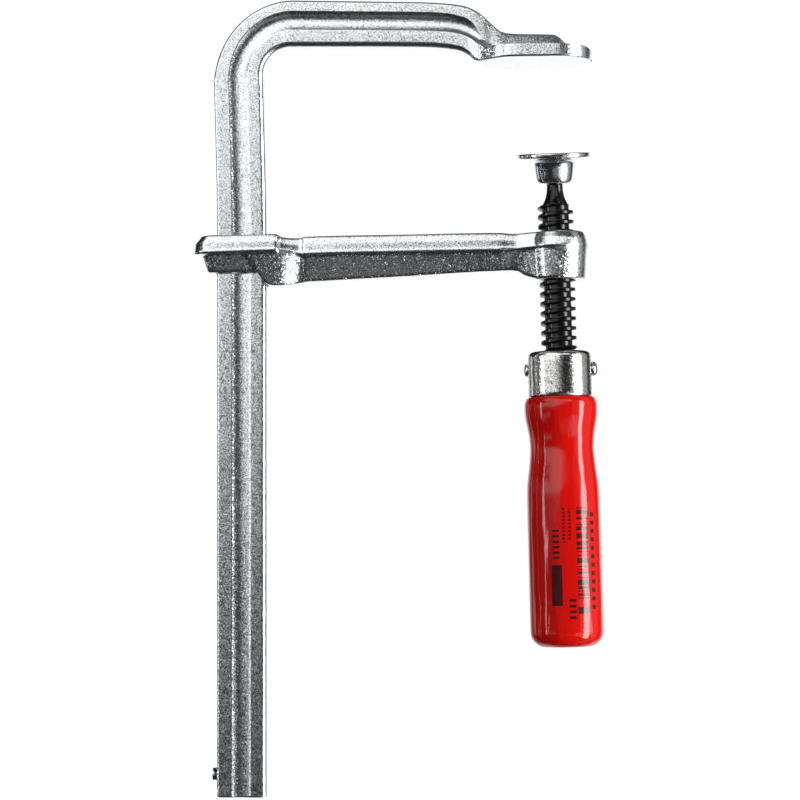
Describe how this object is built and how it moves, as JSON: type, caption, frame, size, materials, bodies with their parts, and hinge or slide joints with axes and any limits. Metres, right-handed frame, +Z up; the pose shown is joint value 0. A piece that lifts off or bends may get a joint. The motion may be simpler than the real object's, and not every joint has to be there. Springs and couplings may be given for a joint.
{
  "type": "f clamp",
  "caption": "Screw clamp with a bent grooved rail, a sliding forged arm and a wooden-handled spindle that drives a swivelling pressure pad.",
  "frame": {"origin": "centre of the fixed jaw's clamping face, on the axis the screw closes towards", "axes": "+Z up along the rail, +X from the rail towards the spindle, +Y across the clamp so that the frame is right-handed"},
  "size_m": [0.1678, 0.0309, 0.329],
  "materials": {
    "zinc_forging": "bright zinc plating over a grained forged surface",
    "zinc_arm": "bright zinc plating over a coarse grained drop forging",
    "plated_sheet": "bright plated drawn sheet",
    "plated_pad": "bright zinc plated",
    "black_oxide": "oiled black oxide",
    "red_lacquer": "turned hardwood under glossy red lacquer",
    "pin_steel": "zinc plated pin",
    "rivet_steel": "bright domed rivet",
    "spring_steel": "bare spring wire"
  },
  "bodies": {
    "bar": {"fixed_bar": "zinc_forging", "rail_stop_pin": "pin_steel"},
    "arm": {"sliding_arm": "zinc_arm"},
    "carrier": {"ball_retaining_ring": "spring_steel"},
    "screw": {"spindle": "black_oxide", "ferrule": "plated_sheet", "handle": "red_lacquer", "handle_cross_pin": "rivet_steel"},
    "pad": {"pressure_plate": "plated_pad"}
  },
  "joints": [
    {"name": "arm_slide", "type": "slide", "parent": "bar", "child": "arm", "axis": [0, 0, 1], "range_m": [-0.2, 0.005]},
    {"name": "spindle_feed", "type": "slide", "parent": "arm", "child": "carrier", "axis": [-0.0201, 0, 0.9998], "range_m": [-0.018, 0.028]},
    {"name": "spindle_turn", "type": "hinge", "parent": "carrier", "child": "screw", "pos_m": [-0.0002, 0, -0.081], "axis": [-0.0201, 0, 0.9998], "range_deg": [-1625, 2525]},
    {"name": "pad_tilt", "type": "hinge", "parent": "carrier", "child": "pad", "pos_m": [-0.00091, 0, -0.04541], "axis": [0.9998, 0, 0.0201], "range_deg": [-21.5, 5.5]}
  ],
  "couplings": [
    {"joint": "spindle_turn", "follows": "spindle_feed", "rad_per_m": 1570.8}
  ]
}
